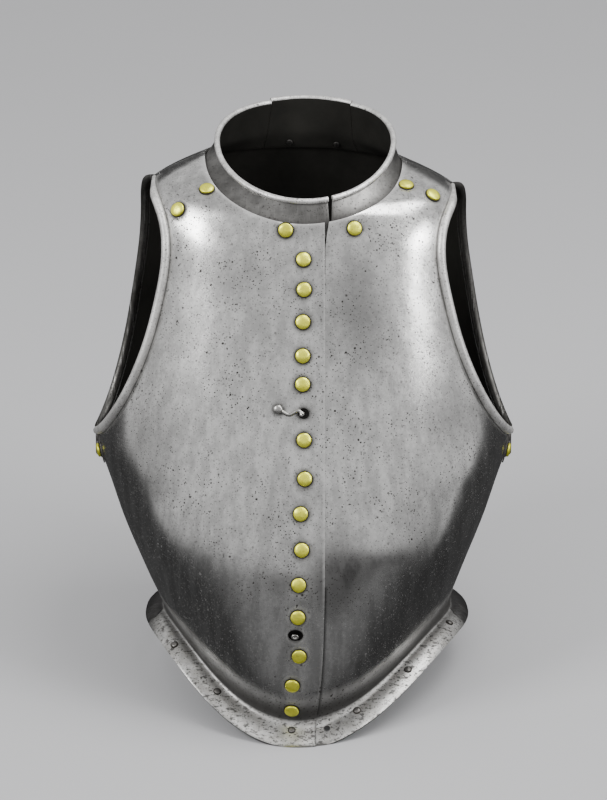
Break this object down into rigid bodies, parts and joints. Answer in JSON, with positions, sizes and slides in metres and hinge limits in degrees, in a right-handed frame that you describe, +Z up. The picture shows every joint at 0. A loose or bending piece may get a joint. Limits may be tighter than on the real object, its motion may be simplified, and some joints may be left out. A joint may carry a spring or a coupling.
{
  "type": "waistcoat cuirass",
  "caption": "Steel waistcoat cuirass: two hinged front halves lapped and hooked down the middle, a backplate, a low rolled collar, a turned-out flange and brass-capped rivets.",
  "frame": {"origin": "on the surface that the cuirass stands on, under the middle of its box", "axes": "+Z up, the front faces -Y, the wearer's left is +X; the trunk leans back 12 degrees as it stands"},
  "size_m": [0.3544, 0.3327, 0.4497],
  "materials": {
    "steel": "polished, lightly pitted and scratched",
    "brass": "polished domed caps",
    "fittings": "darkened, rough"
  },
  "bodies": {
    "back": {"backplate": "steel", "collar_back": "steel", "nape_rivet_right": "brass", "nape_rivet_left": "brass", "hinge_back_right": "fittings", "hinge_pin_right": "fittings", "hinge_back_rivet_right": "fittings", "hinge_back_left": "fittings", "hinge_pin_left": "fittings", "hinge_back_rivet_left": "fittings"},
    "right_front": {"front_right": "steel", "collar_right": "steel", "button_01": "brass", "button_02": "brass", "button_03": "brass", "button_04": "brass", "button_05": "brass", "button_06": "brass", "button_07": "brass", "button_08": "brass", "button_09": "brass", "button_10": "brass", "button_11": "brass", "button_12": "brass", "button_13": "brass", "button_14": "brass", "collar_rivet_right": "brass", "neck_rivet_right": "brass", "shoulder_rivet_right": "brass", "hinge_rivet_right": "brass", "flange_rivet_1": "fittings", "flange_rivet_2": "fittings", "flange_rivet_3": "fittings", "hook_rivet": "steel", "hinge_front_right": "fittings"},
    "left_front": {"front_left": "steel", "collar_left": "steel", "collar_rivet_left": "brass", "neck_rivet_left": "brass", "shoulder_rivet_left": "brass", "hinge_rivet_left": "brass", "flange_rivet_4": "fittings", "flange_rivet_5": "fittings", "flange_rivet_6": "fittings", "stud_upper": "fittings", "stud_lower": "fittings", "hinge_front_left": "fittings"},
    "hook": {"swivel_hook": "steel"}
  },
  "joints": [
    {"name": "right_hinge", "type": "hinge", "parent": "back", "child": "right_front", "pos_m": [-0.1742, 0.0371, 0.17852], "axis": [0, -0.2079, -0.9781], "range_deg": [0, 85]},
    {"name": "left_hinge", "type": "hinge", "parent": "back", "child": "left_front", "pos_m": [0.1742, 0.0371, 0.17852], "axis": [0, 0.2079, 0.9781], "range_deg": [0, 34]},
    {"name": "hook_pivot", "type": "hinge", "parent": "right_front", "child": "hook", "pos_m": [-0.0205, -0.08256, 0.26478], "axis": [-0.0514, -0.8944, 0.4442], "range_deg": [-75, 0]}
  ],
  "couplings": [
    {"joint": "left_hinge", "follows": "right_hinge", "ratio": 0.4}
  ]
}
